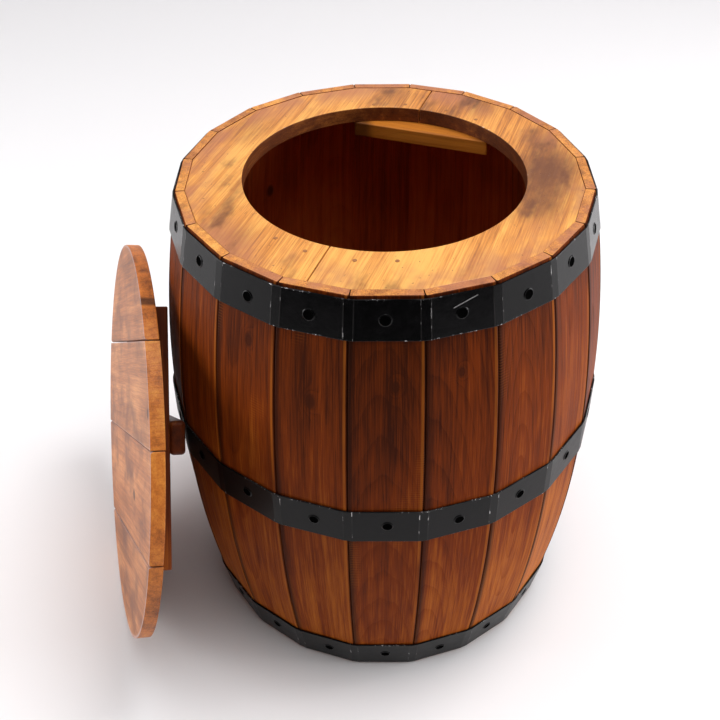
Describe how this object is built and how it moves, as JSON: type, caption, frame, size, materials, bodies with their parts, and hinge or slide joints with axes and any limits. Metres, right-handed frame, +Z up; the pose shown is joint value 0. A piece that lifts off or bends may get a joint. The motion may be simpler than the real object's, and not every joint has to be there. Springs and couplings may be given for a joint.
{
  "type": "wine barrel",
  "caption": "Staved storage barrel with three nailed steel hoops, a two-board head ring around a round mouth, a planked floor, and a loose planked lid leaning on its side.",
  "frame": {"origin": "on the barrel's axis, in the plane that the barrel and the lid's edge stand on", "axes": "+Z up the barrel's axis and out of its mouth; -Y towards the front; -X towards the leaning lid"},
  "size_m": [0.4376, 0.3689, 0.386],
  "materials": {
    "stave_wood": "glossy red-brown stain",
    "ring_wood": "honey stain, satin",
    "lid_wood": "pale brown stain, satin",
    "batten_wood": "plain sawn wood, matt",
    "black_steel": "black paint, satin, chipped at the bends",
    "nail_steel": "dull steel"
  },
  "bodies": {
    "barrel": {"stave_01": "stave_wood", "stave_02": "stave_wood", "stave_03": "stave_wood", "stave_04": "stave_wood", "stave_05": "stave_wood", "stave_06": "stave_wood", "stave_07": "stave_wood", "stave_08": "stave_wood", "stave_09": "stave_wood", "stave_10": "stave_wood", "stave_11": "stave_wood", "stave_12": "stave_wood", "stave_13": "stave_wood", "stave_14": "stave_wood", "stave_15": "stave_wood", "stave_16": "stave_wood", "stave_17": "stave_wood", "stave_18": "stave_wood", "stave_19": "stave_wood", "stave_20": "stave_wood", "hoop_top": "black_steel", "hoop_middle": "black_steel", "hoop_bottom": "black_steel", "hoop_nails_top": "black_steel", "hoop_nails_middle": "black_steel", "hoop_nails_bottom": "black_steel", "ring_board_left": "ring_wood", "ring_board_right": "ring_wood", "ring_batten_front": "batten_wood", "ring_batten_back": "batten_wood", "ring_nails": "nail_steel", "floor_plank_1": "ring_wood", "floor_plank_2": "ring_wood", "floor_plank_3": "ring_wood", "floor_plank_4": "ring_wood", "floor_batten_front": "batten_wood", "floor_batten_back": "batten_wood", "floor_nails": "nail_steel"},
    "lid": {"lid_plank_1": "lid_wood", "lid_plank_2": "lid_wood", "lid_plank_3": "lid_wood", "lid_plank_4": "lid_wood", "lid_batten_upper": "batten_wood", "lid_batten_lower": "batten_wood", "lid_handle_bar": "batten_wood", "lid_nails": "nail_steel"}
  },
  "joints": [
    {"name": "lid_lift", "type": "slide", "parent": "barrel", "child": "lid", "axis": [0, 0, 1], "range_m": [0, 0.4]}
  ]
}
